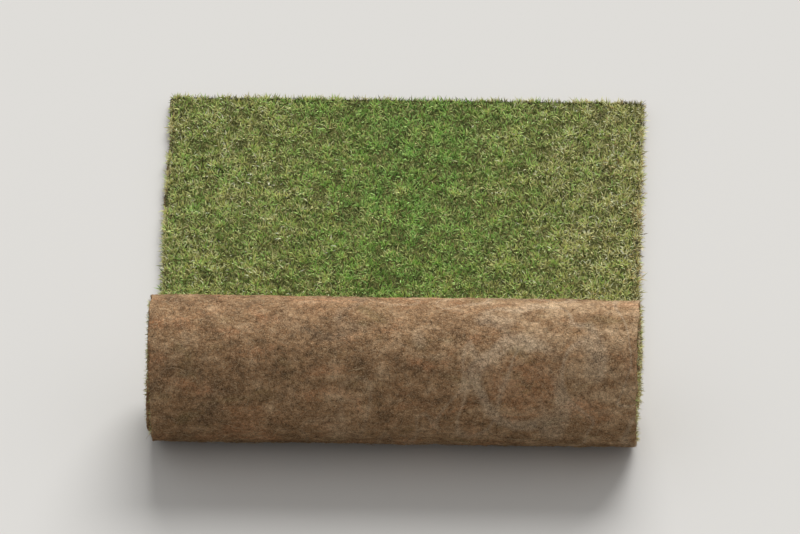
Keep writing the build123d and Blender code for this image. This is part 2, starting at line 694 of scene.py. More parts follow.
@dataclass(frozen=True)
class Wander:
    """A smooth random line: how far an edge strays from its true place.

    Attributes:
        reach: The furthest that it strays, in metres.
        wave: The length between its turns, in metres.
        seed: Which of all such lines it is.
        knots: How many turns it has before it repeats.
    """

    reach: float
    wave: float
    seed: int
    knots: int = 997

    def at(self, along: np.ndarray) -> np.ndarray:
        """The distance strayed.

        Args:
            along: Lengths along the edge.

        Returns:
            The distance at each length.
        """
        stops = np.random.default_rng(self.seed).uniform(-self.reach, self.reach, self.knots)
        place = along / self.wave
        before = np.floor(place).astype(int)
        share = place - before
        share = share * share * (3 - 2 * share)
        return stops[before % self.knots] * (1 - share) + stops[(before + 1) % self.knots] * share

    def other(self, number: int) -> "Wander":
        """Another line of the same kind, told apart by a number that is added to the seed."""
        return replace(self, seed=self.seed + number)


@dataclass(frozen=True)
class Stretch:
    """A run of the strip, as a row of stations along it.

    Attributes:
        along: Length along the strip from the coil's foot, in metres; negative inside the coil.
        soil: The point (y, z) of each station on the soil face.
        out: The direction (y, z) from the grass face to the soil face.
        pitch: The thickness of soil and pressed grass together.
    """

    along: np.ndarray
    soil: np.ndarray
    out: np.ndarray
    pitch: np.ndarray

    def points(self, x: np.ndarray, depth: np.ndarray) -> np.ndarray:
        """Places across and into the strip at every station.

        Args:
            x: Place across the strip, one column for each point of the section.
            depth: Depth under the soil face as a share of the pitch, likewise.

        Returns:
            An array of stations by section points by three coordinates.
        """
        shape = (len(self.along), x.shape[-1])
        sunk = np.broadcast_to(depth, shape) * self.pitch[:, None]
        yz = self.soil[:, None, :] - self.out[:, None, :] * sunk[:, :, None]
        return np.concatenate([np.broadcast_to(x, shape)[:, :, None], yz], axis=2)


@dataclass(frozen=True)
class Winding:
    """The line on which the strip is wound: half circles on two centres, one over the other.

    Attributes:
        width: Width of the strip.
        coil_y: Where both centres stand along Y.
        radius: Radius of the outermost half turn, which goes up the front.
        half_pitch: How much smaller each half turn is than the one outside it.
        bore: Radius of the bore, struck from the upper centre.
        laid: Length of the laid stretch.
        soil_share: Share of the pitch that is soil; the rest is pressed grass.
        inner_end: Angle wound from the coil's foot to the strip's inner end, in degrees.
    """

    width: float
    coil_y: float
    radius: float
    half_pitch: float
    bore: float
    laid: float
    soil_share: float = 0.75
    inner_end: float = 1910.0

    @classmethod
    def of_the_frame(cls) -> "Winding":
        """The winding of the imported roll.

        Returns:
            The winding, worked out from the roll's box and its bore.
        """
        low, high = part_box(STRIP_NODE)
        bore = next(m for m in frame["record"]["mounts"] if m["name"] == BORE_MOUNT)
        coil_y, centre_z = bore["pos_m"][1:]
        radius = high[2] / 2
        return cls(width=high[0] - low[0], coil_y=coil_y, radius=radius, half_pitch=centre_z - radius,
                   bore=bore["dims"]["r_mm"] * MM, laid=high[1] - coil_y)

    @property
    def pitch(self) -> float:
        """Thickness of soil and pressed grass together."""
        return 2 * self.half_pitch

    @property
    def soil(self) -> float:
        """Thickness of the mat of soil and roots."""
        return self.pitch * self.soil_share

    @property
    def foot_of_last(self) -> float:
        """Angle wound at which the strip's last, squeezed stretch begins."""
        return HALF_TURN * round((self.radius - self.bore) / self.half_pitch - 1)

    def coiled(self, start: float, end: float, step: float) -> Stretch:
        """A run of the coil.

        Args:
            start: Angle wound from the coil's foot, in degrees, where the run begins.
            end: Angle at which it ends, further in.
            step: Length between stations, about.

        Returns:
            The run.
        """
        middle = self.radius - self.half_pitch * (start + end) / FULL_TURN
        count = max(3, int(math.radians(end - start) * middle / step))
        wound = np.linspace(start, end, count)
        half = np.clip(np.floor(wound / HALF_TURN), 0, self.foot_of_last / HALF_TURN)
        radius = self.radius - self.half_pitch * half
        angle = np.radians(STRAIGHT_DOWN - wound)
        out = np.stack([np.cos(angle), np.sin(angle)], axis=1)
        centre_z = self.radius + self.half_pitch * (half % 2)
        soil = np.stack([self.coil_y + radius * out[:, 0], centre_z + radius * out[:, 1]], axis=1)
        rest = np.radians(wound - HALF_TURN * half)
        finished = np.pi * (half * self.radius - self.half_pitch * half * (half - 1) / 2)
        across = self.half_pitch * out[:, 0]
        to_bore = self.half_pitch * out[:, 1] + np.sqrt(self.bore**2 - across**2)
        pitch = np.where(wound > self.foot_of_last, radius - to_bore, self.pitch)
        return Stretch(-(finished + radius * rest), soil, out, pitch)

    def flat(self, start: float, end: float, step: float) -> Stretch:
        """A run of the laid stretch.

        Args:
            start: Length from the coil's foot at which the run begins.
            end: Length at which it ends.
            step: Length between stations, about.

        Returns:
            The run.
        """
        along = np.linspace(start, end, max(3, int((end - start) / step)))
        soil = np.stack([self.coil_y + along, np.zeros_like(along)], axis=1)
        out = np.tile([0.0, -1.0], (len(along), 1))
        return Stretch(along, soil, out, np.full(len(along), self.pitch))


@dataclass(frozen=True)
class StripEdges:
    """Where the two long edges of the strip really run, a little off straight and a little torn.

    Attributes:
        half_width: Half the strip's width.
        stray: How far a turn stands in or out of its neighbours.
        tear: How ragged the cut is.
        crumb: The finest raggedness.
    """

    half_width: float
    stray: Wander = Wander(reach=7.0 * MM, wave=0.27, seed=11)
    tear: Wander = Wander(reach=1.8 * MM, wave=0.034, seed=31)
    crumb: Wander = Wander(reach=0.8 * MM, wave=0.011, seed=51)

    def at(self, along: np.ndarray, side: int, seed: int = 0) -> np.ndarray:
        """X of the edge on side 1 or -1 at each length; the seed GRASS_EDGE gives that of the grass."""
        lines = (self.stray.other(side), self.tear.other(side + seed), self.crumb.other(side + seed))
        return side * self.half_width + sum(line.at(along) for line in lines)


@dataclass(frozen=True)
class StripPart:
    """Anything that follows the strip.

    Attributes:
        winding: The line of the strip.
        edges: The strip's real edges.
    """

    winding: Winding
    edges: StripEdges


def strip_places(along: Any, rows: np.ndarray, depth: Any) -> np.ndarray:
    """Places along, across and into the strip of rows of points, whose lengths and depths are known."""
    size = rows.shape[:2]
    return np.stack([np.broadcast_to(along, size), rows[:, :, 0], np.broadcast_to(depth, size)], axis=-1)


class Shell:
    """Vertices, faces and marks gathered for one mesh.

    Attributes:
        points: The vertices, in blocks.
        faces: The faces, which count through all the blocks.
        marks: The vertices' values, in the same blocks.
        count: How many vertices there are.
    """

    def __init__(self) -> None:
        """Starts empty."""
        self.points: list[np.ndarray] = []
        self.faces: list[tuple[int, ...]] = []
        self.marks: dict[Mark, list[np.ndarray]] = {}
        self.count = 0

    def _add(self, points: np.ndarray, faces: list[tuple[int, ...]], marks: dict[Mark, np.ndarray]) -> None:
        """Adds a block of vertices.

        Args:
            points: The vertices.
            faces: Faces on them, which count from the first.
            marks: Their values.
        """
        self.faces += [tuple(index + self.count for index in face) for face in faces]
        self.points.append(points)
        self.count += len(points)
        for mark, values in marks.items():
            self.marks.setdefault(mark, []).append(values)

    def loft(self, rows: np.ndarray, marks: dict[Mark, np.ndarray], round_section: bool = True) -> None:
        """Adds a skin over rows of points.

        Args:
            rows: Rows by points in a row by three coordinates.
            marks: Values with the same first two sizes.
            round_section: Whether each row is a closed section, so that the ends are capped.
        """
        count, size = rows.shape[:2]
        last = size if round_section else size - 1
        column = np.arange(last)
        ahead = (column + 1) % size
        first = np.arange(count - 1)[:, None] * size
        second = first + size
        quads = np.stack([first + column, first + ahead, second + ahead, second + column], axis=-1)
        faces = [tuple(face) for face in quads.reshape(-1, 4).tolist()]
        if round_section:
            faces.append(tuple(range(size - 1, -1, -1)))
            faces.append(tuple(range((count - 1) * size, count * size)))
        flat = {mark: values.reshape((count * size, -1)) for mark, values in marks.items()}
        self._add(rows.reshape(-1, 3), faces, flat)

    def piece(self, name: str, closed: bool = True) -> bpy.types.Object:
        """Makes the object, linked to the scene, smooth and with its faces outwards.

        Args:
            name: The object's name.
            closed: Whether its faces enclose a body and so have an outside.

        Returns:
            The object.
        """
        mesh = bpy.data.meshes.new(name)
        mesh.from_pydata(np.concatenate(self.points).tolist(), [], self.faces)
        for mark, parts in self.marks.items():
            values = np.concatenate(parts)
            kind, key = ("FLOAT_VECTOR", "vector") if values.shape[1] == 3 else ("FLOAT", "value")
            mesh.attributes.new(mark.value, kind, "POINT").data.foreach_set(key, values.ravel())
        if closed:
            work = bmesh.new()
            work.from_mesh(mesh)
            bmesh.ops.recalc_face_normals(work, faces=work.faces)
            work.to_mesh(mesh)
            work.free()
        mesh.shade_smooth()
        made = bpy.data.objects.new(name, mesh)
        bpy.context.scene.collection.objects.link(made)
        return made


class Growth(NodeSheet):
    """A Geometry Nodes tree under construction, with named inputs.

    Attributes:
        KINDS: The type of socket for each kind of input.
    """

    KINDS = {float: "NodeSocketFloat", int: "NodeSocketInt", tuple: "NodeSocketVector",
             bpy.types.Material: "NodeSocketMaterial", bpy.types.Collection: "NodeSocketCollection"}

    def __init__(self, name: str, inputs: dict[str, type]) -> None:
        """Starts a tree that has only its inputs.

        Args:
            name: The tree's name.
            inputs: Its inputs after the geometry, by name, with the kind of value that each takes.
        """
        self.group = bpy.data.node_groups.new(name, "GeometryNodeTree")
        super().__init__(self.group)
        self.group.interface.new_socket("Geometry", in_out="OUTPUT", socket_type="NodeSocketGeometry")
        self.group.interface.new_socket("Geometry", in_out="INPUT", socket_type="NodeSocketGeometry")
        self.keys: dict[str, str] = {}
        for label, kind in inputs.items():
            socket = self.group.interface.new_socket(label, in_out="INPUT", socket_type=self.KINDS[kind])
            self.keys[label] = socket.identifier
        self.entry = self.node("NodeGroupInput")

    def given(self, name: str) -> Reading:
        """One of the tree's inputs."""
        return self.read(self.entry, name)

    def marked(self, mark: Mark, kind: str = "FLOAT") -> Reading:
        """A value that the geometry carries."""
        inputs = {"Name": mark.value}
        return self.read(self.node("GeometryNodeInputNamedAttribute", {"data_type": kind}, inputs))

    def random(self, low: Any, high: Any, seed: Reading, kind: str = "FLOAT") -> Reading:
        """A random value for each point."""
        inputs = {"Min": low, "Max": high, "Seed": seed}
        return self.read(self.node("FunctionNodeRandomValue", {"data_type": kind}, inputs))

    def stored(self, geometry: Reading, mark: Mark, value: Reading) -> Reading:
        """The geometry with a value stored on each of its points."""
        inputs = {"Geometry": geometry, "Name": mark.value, "Value": value}
        return self.read(self.node("GeometryNodeStoreNamedAttribute", {"data_type": "FLOAT"}, inputs))

    def place(self) -> Reading:
        """Where each point is."""
        return self.read(self.node("GeometryNodeInputPosition"))

    def moved(self, geometry: Reading, place: Reading) -> Reading:
        """The geometry with each of its points at a new place."""
        inputs = {"Geometry": geometry, "Position": place}
        return self.read(self.node("GeometryNodeSetPosition", None, inputs))

    def close(self, geometry: Reading) -> None:
        """Ends the tree, with nothing left under the ground.

        Args:
            geometry: What the tree has made.
        """
        real = self.read(self.node("GeometryNodeRealizeInstances", None, {"Geometry": geometry}))
        lifted = self.vector("MAXIMUM", self.place(), (NO_LIMIT, NO_LIMIT, CLEAR_OF_GROUND))
        inputs = {"Geometry": self.moved(real, lifted), "Material": self.given("Finish")}
        dressed = self.read(self.node("GeometryNodeSetMaterial", None, inputs))
        self.node("NodeGroupOutput", None, {"Geometry": dressed})

    def grow(self, piece: bpy.types.Object, values: dict[str, Any]) -> bpy.types.Object:
        """Runs the tree on an object and leaves the result in it as a plain mesh.

        Args:
            piece: The object.
            values: The inputs by name.

        Returns:
            The same object.
        """
        modifier = piece.modifiers.new(self.group.name, "NODES")
        modifier.node_group = self.group
        for label, value in values.items():
            modifier[self.keys[label]] = value
        graph = bpy.context.evaluated_depsgraph_get()
        mesh = bpy.data.meshes.new_from_object(piece.evaluated_get(graph), preserve_all_data_layers=True,
                                               depsgraph=graph)
        piece.modifiers.clear()
        before = piece.data
        piece.data = mesh
        bpy.data.meshes.remove(before)
        mesh.name = piece.name
        return piece


class Roughening(Growth):
    """The tree that makes a surface uneven, as soil is.

    It has the inputs Swell and Lump, both heights in metres, Seed and Finish.

    Attributes:
        INPUTS: The tree's inputs.
        SWELL_WAVES, LUMP_WAVES, CRUMBLE_WAVES: Waves to the metre of the broad swell, of the lumps and of
            the crumbling on them.
        CRUMBLE: Height of the crumbling as a share of the lumps' height.
        TO_HEIGHT: What brings a noise's swing to the whole height.
        APART: How far the noise of one seed lies from that of the next.
    """

    INPUTS = {"Swell": float, "Lump": float, "Seed": float, "Finish": bpy.types.Material}
    SWELL_WAVES = 7.0
    LUMP_WAVES = 42.0
    CRUMBLE_WAVES = 130.0
    CRUMBLE = 0.9
    TO_HEIGHT = 2.0
    APART = (1.0, 0.6, 0.3)

    def __init__(self) -> None:
        """Builds the whole tree."""
        super().__init__("uneven surface", self.INPUTS)
        normal = self.read(self.node("GeometryNodeInputNormal"))
        seeded = self.vector("ADD", self.place(), self.scaled(self.APART, self.given("Seed")))
        swell = (self.noise(seeded, self.SWELL_WAVES, detail=2.0) - 0.5) * self.given("Swell")
        lumps = self.noise(seeded, self.LUMP_WAVES, detail=4.0, roughness=0.6)
        lump = (lumps - 0.5) * self.given("Lump")
        crumbs = self.noise(seeded, self.CRUMBLE_WAVES, detail=2.0, roughness=0.6)
        crumble = (crumbs - 0.5) * self.given("Lump")
        reach = (swell + lump + crumble * self.CRUMBLE) * self.TO_HEIGHT * self.marked(Mark.FREEDOM)
        raised = self.vector("ADD", self.place(), self.scaled(normal, reach))
        self.close(self.moved(self.given("Geometry"), raised))


class Planting(Growth):
    """The tree that plants small forms all over a surface.

    Where they stand is ruled by the surface's cover, which way they lean by its comb, and their colour by
    its tint. The tree has the inputs Forms, Density, Small and Large for the sizes, Stray for how far each
    leans its own way, Mottle for how much the colour changes from place to place, Seed and Finish.

    Attributes:
        INPUTS: The tree's inputs.
        CLUMP_WAVES, PATCH_WAVES, SWAY_WAVES: Waves to the metre of the clumps, in which the forms are
            thicker and larger and get more painted light, of the patches of another colour and of the way
            neighbours lean.
        SWAY: How far they lean together.
        PATCHY: How much of the change of colour comes from the patches.
        FLECKED: How much of it is each form's own.
        OWN_LIGHT: The least and most light that a form has by itself.
    """

    INPUTS = {"Forms": bpy.types.Collection, "Density": float, "Small": float, "Large": float,
              "Stray": float, "Mottle": float, "Seed": int, "Finish": bpy.types.Material}
    CLUMP_WAVES = 58.0
    PATCH_WAVES = 14.0
    SWAY_WAVES = 26.0
    SWAY = 1.3
    PATCHY = 1.4
    FLECKED = 1.15
    OWN_LIGHT = (-0.24, 0.5)

    def __init__(self) -> None:
        """Builds the whole tree."""
        super().__init__("planting", self.INPUTS)
        self.seed = self.given("Seed")
        clouds = self.noise(self.place(), self.CLUMP_WAVES, detail=1.0, roughness=0.6, distortion=0.8)
        self.clumps = clouds.step(0.38, 0.62)
        cover = self.given("Density") * self.marked(Mark.COVER) * (self.clumps * 0.5 + 0.75)
        spread = {"Mesh": self.given("Geometry"), "Density": cover, "Seed": self.seed}
        sown = self.node("GeometryNodeDistributePointsOnFaces", {"distribute_method": "RANDOM"}, spread)
        # Painted light and shade: each tuft gets a light level, higher in the clumps and varied at random,
        # which its colour is multiplied by.
        light = self.clumps * 0.8 + self.random(*self.OWN_LIGHT, self.seed + 4.0)
        tinted = self.stored(self.read(sown, "Points"), Mark.TINT, self._tint())
        points = self.stored(tinted, Mark.CLUMP, light)
        choice = {"Collection": self.given("Forms"), "Separate Children": True, "Reset Children": True}
        forms = self.read(self.node("GeometryNodeCollectionInfo", None, choice))
        planted = {"Points": points, "Instance": forms, "Pick Instance": True,
                   "Rotation": self._turned(self.read(sown, "Normal")), "Scale": self._size()}
        self.close(self.read(self.node("GeometryNodeInstanceOnPoints", None, planted)))

    def _tint(self) -> Reading:
        """The colour of each form: that of its bed, mottled."""
        patch = self.noise(self.place(), self.PATCH_WAVES, detail=5.0, roughness=0.7) - 0.5
        fleck = self.random(-0.5, 0.5, self.seed)
        return self.marked(Mark.TINT) + (patch * self.PATCHY + fleck * self.FLECKED) * self.given("Mottle")

    def _turned(self, normal: Reading) -> Reading:
        """Which way each form stands.

        Args:
            normal: The way out of the bed.

        Returns:
            Its turn about its own axis and its lean, as a rotation.
        """
        any_way = self.random((-1.0, -1.0, -1.0), (1.0, 1.0, 1.0), self.seed + 1.0, "FLOAT_VECTOR")
        stray = self.scaled(any_way, self.given("Stray"))
        sway = self.scaled(self.drift(self.place(), self.SWAY_WAVES), self.SWAY)
        lean = self.vector("ADD", self.vector("ADD", stray, sway), self.marked(Mark.COMB, "FLOAT_VECTOR"))
        spin = {"Axis": (0.0, 0.0, 1.0), "Angle": self.random(0.0, math.tau, self.seed + 2.0)}
        spun = self.read(self.node("FunctionNodeAxisAngleToRotation", None, spin))
        stand = {"Rotation": spun, "Vector": self.vector("ADD", normal, lean)}
        return self.read(self.node("FunctionNodeAlignRotationToVector", {"axis": "Z"}, stand))

    def _size(self) -> Reading:
        """The size of each form, larger in the clumps and nothing where the bed has no cover."""
        size = self.random(self.given("Small"), self.given("Large"), self.seed + 3.0)
        return size * (self.clumps * 0.35 + 0.8) * self.marked(Mark.COVER).step(0.0, 1.0)


@dataclass(frozen=True)
class Blade:
    """One blade of grass that grows up +Z and bends over towards +Y.

    Attributes:
        length: From root to tip.
        width: At its widest.
        bend: How far it turns from root to tip, in radians.
        joints: How many lengths it is made of.
        steps: Into how many steps its bend is worked out.
        bend_power: How much more it bends near the tip.
        taper: How late it narrows to its tip.
    """

    length: float
    width: float
    bend: float
    joints: int = 2
    steps: int = 40
    bend_power: float = 1.4
    taper: float = 2.2

    def points(self) -> tuple[np.ndarray, np.ndarray]:
        """The blade's points.

        Returns:
            The pairs of points up the blade and then its tip, and how far up each one is.
        """
        share = np.linspace(0, 1, self.joints + 1)
        fine = np.linspace(0, 1, self.steps)
        turn = self.bend * fine**self.bend_power
        y = np.interp(share, fine, np.cumsum(np.sin(turn)) / self.steps) * self.length
        z = np.interp(share, fine, np.cumsum(np.cos(turn)) / self.steps) * self.length
        belly = 0.8 + 0.4 * np.sin(np.pi * share)
        half = self.width / 2 * (1 - share**self.taper) * belly
        left = np.stack([-half, y, z], axis=1)
        right = np.stack([half, y, z], axis=1)
        pairs = np.stack([left[:-1], right[:-1]], axis=1).reshape(-1, 3)
        return np.vstack([pairs, left[-1:]]), np.append(np.repeat(share[:-1], 2), 1.0)

    def faces(self) -> list[tuple[int, ...]]:
        """Its faces from root to tip."""
        quads = [(2 * i, 2 * i + 1, 2 * i + 3, 2 * i + 2) for i in range(self.joints - 1)]
        tip = 2 * self.joints
        return [*quads, (tip - 2, tip - 1, tip)]


@dataclass(frozen=True)
class Tuft:
    """A few blades that spring from one shoot.

    Attributes:
        blades: How many.
        length: Mean length of a blade.
        width: Mean width of a blade.
        spread: How far the blades lean apart, in radians.
        foot: How far apart their roots are.
        joints: How many lengths a blade is made of.
        lengths, widths: Least and greatest share of the mean length and width.
        bends: How far a blade may bend, in radians.
        gaps: How far a blade may stand from its even place round the shoot, as a share of the gap.
        leans: Least and greatest share of the spread.
        twists: How far a blade may be twisted, in radians.
    """

    blades: int
    length: float
    width: float
    spread: float
    foot: float
    joints: int = 2
    lengths: Range = (0.7, 1.1)
    widths: Range = (0.75, 1.2)
    bends: Range = (0.2, 1.5)
    gaps: Range = (0, 0.8)
    leans: Range = (0.2, 1.0)
    twists: Range = (-0.9, 0.9)

    def form(self, seed: int) -> bpy.types.Mesh:
        """Makes one tuft.

        Args:
            seed: Which of all such tufts it is.

        Returns:
            Its mesh.
        """
        dice = np.random.default_rng(seed)
        points, faces, rises, shades = [], [], [], []
        for index in range(self.blades):
            length = self.length * dice.uniform(*self.lengths)
            width = self.width * dice.uniform(*self.widths)
            blade = Blade(length, width, dice.uniform(*self.bends), self.joints)
            place, rise = blade.points()
            heading = math.tau * (index + dice.uniform(*self.gaps)) / self.blades
            lean = self.spread * dice.uniform(*self.leans)
            first = sum(len(block) for block in points)
            faces += [tuple(first + corner for corner in face) for face in blade.faces()]
            points.append(self._placed(place, dice.uniform(*self.twists), lean, heading))
            rises.append(rise)
            shades.append(np.full(len(rise), dice.uniform(0, 1)))
        marks = {Mark.RISE: np.concatenate(rises), Mark.SHADE: np.concatenate(shades)}
        return form_mesh(np.vstack(points), faces, marks)

    def _placed(self, points: np.ndarray, twist: float, lean: float, heading: float) -> np.ndarray:
        """A blade put in its place in the tuft.

        Args:
            points: The points of the upright blade.
            twist: How far it is twisted about its own line, in radians.
            lean: How far it leans outwards, in radians.
            heading: Which way it leans, in radians.

        Returns:
            The points.
        """
        turned = points @ turn_about("Z", twist).T @ turn_about("X", -lean).T
        turned = turned + np.array([0.0, self.foot, 0.0])
        return turned @ turn_about("Z", heading).T


@dataclass(frozen=True)
class Rootlet:
    """A fine root that lies along a surface and winds from side to side.

    Attributes:
        length: From end to end along X.
        thick: Its diameter.
        wind: How far it strays sideways.
        lift: How far it rises off the surface.
        joints: How many lengths it is made of.
        wave: How far on it turns the other way, as a share of its length.
        kink: How far its finer turns stray, as a share of the wind.
        kink_wave: How far on those turn, as a share of its length.
        bedding: How high its middle line lies at the least, as a share of its diameter.
        taper: How much of its thickness is gone at its ends.
    """

    length: float
    thick: float
    wind: float
    lift: float
    joints: int = 4
    wave: float = 0.3
    kink: float = 0.4
    kink_wave: float = 0.17
    bedding: float = 0.3
    taper: float = 0.7

    def form(self, seed: int) -> bpy.types.Mesh:
        """Makes one root with three sides.

        Args:
            seed: Which of all such roots it is.

        Returns:
            Its mesh.
        """
        share = np.linspace(-0.5, 0.5, self.joints + 1)
        kinks = Wander(self.wind * self.kink, self.kink_wave, seed + 1)
        side = Wander(self.wind, self.wave, seed).at(share) + kinks.at(share)
        rise = self.thick * self.bedding + np.abs(Wander(self.lift, self.wave, seed + 2).at(share))
        thick = self.thick / 2 * (1 - self.taper * np.abs(share * 2) ** 2)
        corners = math.tau / 3 * np.arange(3)
        y = side[:, None] + thick[:, None] * np.cos(corners)
        z = rise[:, None] + thick[:, None] * np.sin(corners)
        x = np.repeat(share[:, None] * self.length, 3, axis=1)
        points = np.stack([x, y, z], axis=-1).reshape(-1, 3)
        faces: list[tuple[int, ...]] = [(2, 1, 0)]
        for ring in range(self.joints):
            for corner in range(3):
                start, ahead = 3 * ring + corner, 3 * ring + (corner + 1) % 3
                faces.append((start, ahead, ahead + 3, start + 3))
        last = 3 * self.joints
        faces.append((last, last + 1, last + 2))
        return form_mesh(points, faces, {})


@dataclass(frozen=True)
class Crumb:
    """A small lump of soil.

    Attributes:
        size: Its diameter.
        across: Least and greatest width as a share of its length.
        high: Least and greatest height as a share of its length.
        knobs: How far a corner may stand in or out, as a share of its distance from the middle.
    """

    size: float
    across: Range = (0.6, 1.0)
    high: Range = (0.3, 0.5)
    knobs: Range = (0.75, 1.2)

    def form(self, seed: int) -> bpy.types.Mesh:
        """Makes one crumb.

        Args:
            seed: Which of all such crumbs it is.

        Returns:
            Its mesh.
        """
        dice = np.random.default_rng(seed)
        work = bmesh.new()
        bmesh.ops.create_icosphere(work, subdivisions=1, radius=self.size / 2)
        squash = np.array([1.0, dice.uniform(*self.across), dice.uniform(*self.high)])
        for vertex in work.verts:
            vertex.co = Vector(np.array(vertex.co) * squash * dice.uniform(*self.knobs))
        mesh = bpy.data.meshes.new("crumb")
        work.to_mesh(mesh)
        work.free()
        return mesh


def turn_about(axis: str, angle: float) -> np.ndarray:
    """The matrix of a turn.

    Args:
        axis: "X" or "Z".
        angle: How far it turns, in radians.

    Returns:
        The matrix.
    """
    cosine, sine = math.cos(angle), math.sin(angle)
    if axis == "X":
        return np.array([[1, 0, 0], [0, cosine, -sine], [0, sine, cosine]])
    return np.array([[cosine, -sine, 0], [sine, cosine, 0], [0, 0, 1]])


def form_mesh(points: np.ndarray, faces: list[tuple[int, ...]],
              marks: dict[Mark, np.ndarray]) -> bpy.types.Mesh:
    """A small form for planting.

    Args:
        points: Its vertices.
        faces: Its faces.
        marks: Values of its vertices.

    Returns:
        Its mesh.
    """
    mesh = bpy.data.meshes.new("form")
    mesh.from_pydata(points.tolist(), [], faces)
    for mark, values in marks.items():
        mesh.attributes.new(mark.value, "FLOAT", "POINT").data.foreach_set("value", values)
    mesh.shade_smooth()
    return mesh


class Forms:
    """A few forms of one kind, kept in a collection while they are planted."""

    def __init__(self, name: str, kinds: Sequence[Tuft | Rootlet | Crumb]) -> None:
        """Makes the forms.

        Args:
            name: Name of the collection.
            kinds: The forms to make.
        """
        self.collection = bpy.data.collections.new(name)
        bpy.context.scene.collection.children.link(self.collection)
        for index, kind in enumerate(kinds):
            form = bpy.data.objects.new(f"{name}_{index}", kind.form(FIRST_FORM + index))
            self.collection.objects.link(form)

    def clear(self) -> None:
        """Deletes the forms."""
        for form in list(self.collection.objects):
            mesh = form.data
            bpy.data.objects.remove(form)
            bpy.data.meshes.remove(mesh)
        bpy.data.collections.remove(self.collection)


def install(piece: bpy.types.Object) -> None:
    """Gives a finished piece its body and reports it.

    Args:
        piece: The finished object.
    """
    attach(piece, BODY)
    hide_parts(STRIP_NODE)
    piece.data.calc_loop_triangles()
    LOG.info("%-18s %7d triangles", piece.name, len(piece.data.loop_triangles))


@dataclass(frozen=True)
class Crop:
    """How small forms are planted on a bed.

    Attributes:
        density: How many to the square metre.
        small: Scale of the smallest.
        large: Scale of the largest.
        stray: How far each leans its own way.
        mottle: How much their colour changes from place to place.
        seed: Which of all such plantings it is.
    """

    density: float
    small: float
    large: float
    stray: float
    mottle: float
    seed: int

    def plant(self, planting: Growth, bed: bpy.types.Object, forms: Forms, finish: bpy.types.Material,
              slot: Slot) -> None:
        """Turns a bed into what grows on it and installs that.

        Args:
            planting: The tree that plants.
            bed: The surface, whose object keeps its name.
            forms: What is planted.
            finish: Its material.
            slot: Not used.
        """
        values = {"Forms": forms.collection, "Density": self.density, "Small": self.small,
                  "Large": self.large, "Stray": self.stray, "Mottle": self.mottle, "Seed": self.seed,
                  "Finish": finish}
        install(planting.grow(bed, values))


